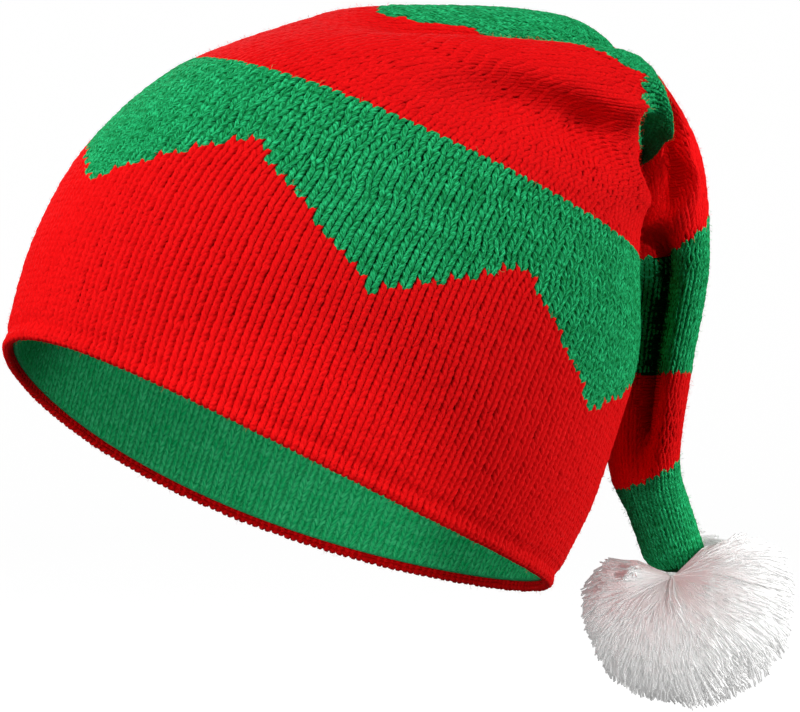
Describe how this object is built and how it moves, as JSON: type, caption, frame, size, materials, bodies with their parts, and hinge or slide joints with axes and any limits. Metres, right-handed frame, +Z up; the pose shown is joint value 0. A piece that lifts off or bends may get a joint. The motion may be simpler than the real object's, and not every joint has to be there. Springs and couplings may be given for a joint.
{
  "type": "knitted pompom hat",
  "caption": "Knitted stocking cap with zigzag-edged stripes, a lined head opening and a long tail folded over the back that ends in a yarn pompom.",
  "frame": {"origin": "middle of the head opening, on the plane of the rim", "axes": "+Z up as worn, forehead at -Y, tail and pompom at the back +Y, wearer's left +X; the rim is tilted back 25 degrees"},
  "size_m": [0.166, 0.2831, 0.2367],
  "materials": {
    "red_yarn": "matte knitted yarn",
    "green_yarn": "matte knitted yarn",
    "white_yarn": "cut yarn ends"
  },
  "bodies": {
    "root": {"knit_shell": "red_yarn", "lining": "green_yarn", "pompom": "white_yarn"}
  },
  "joints": []
}
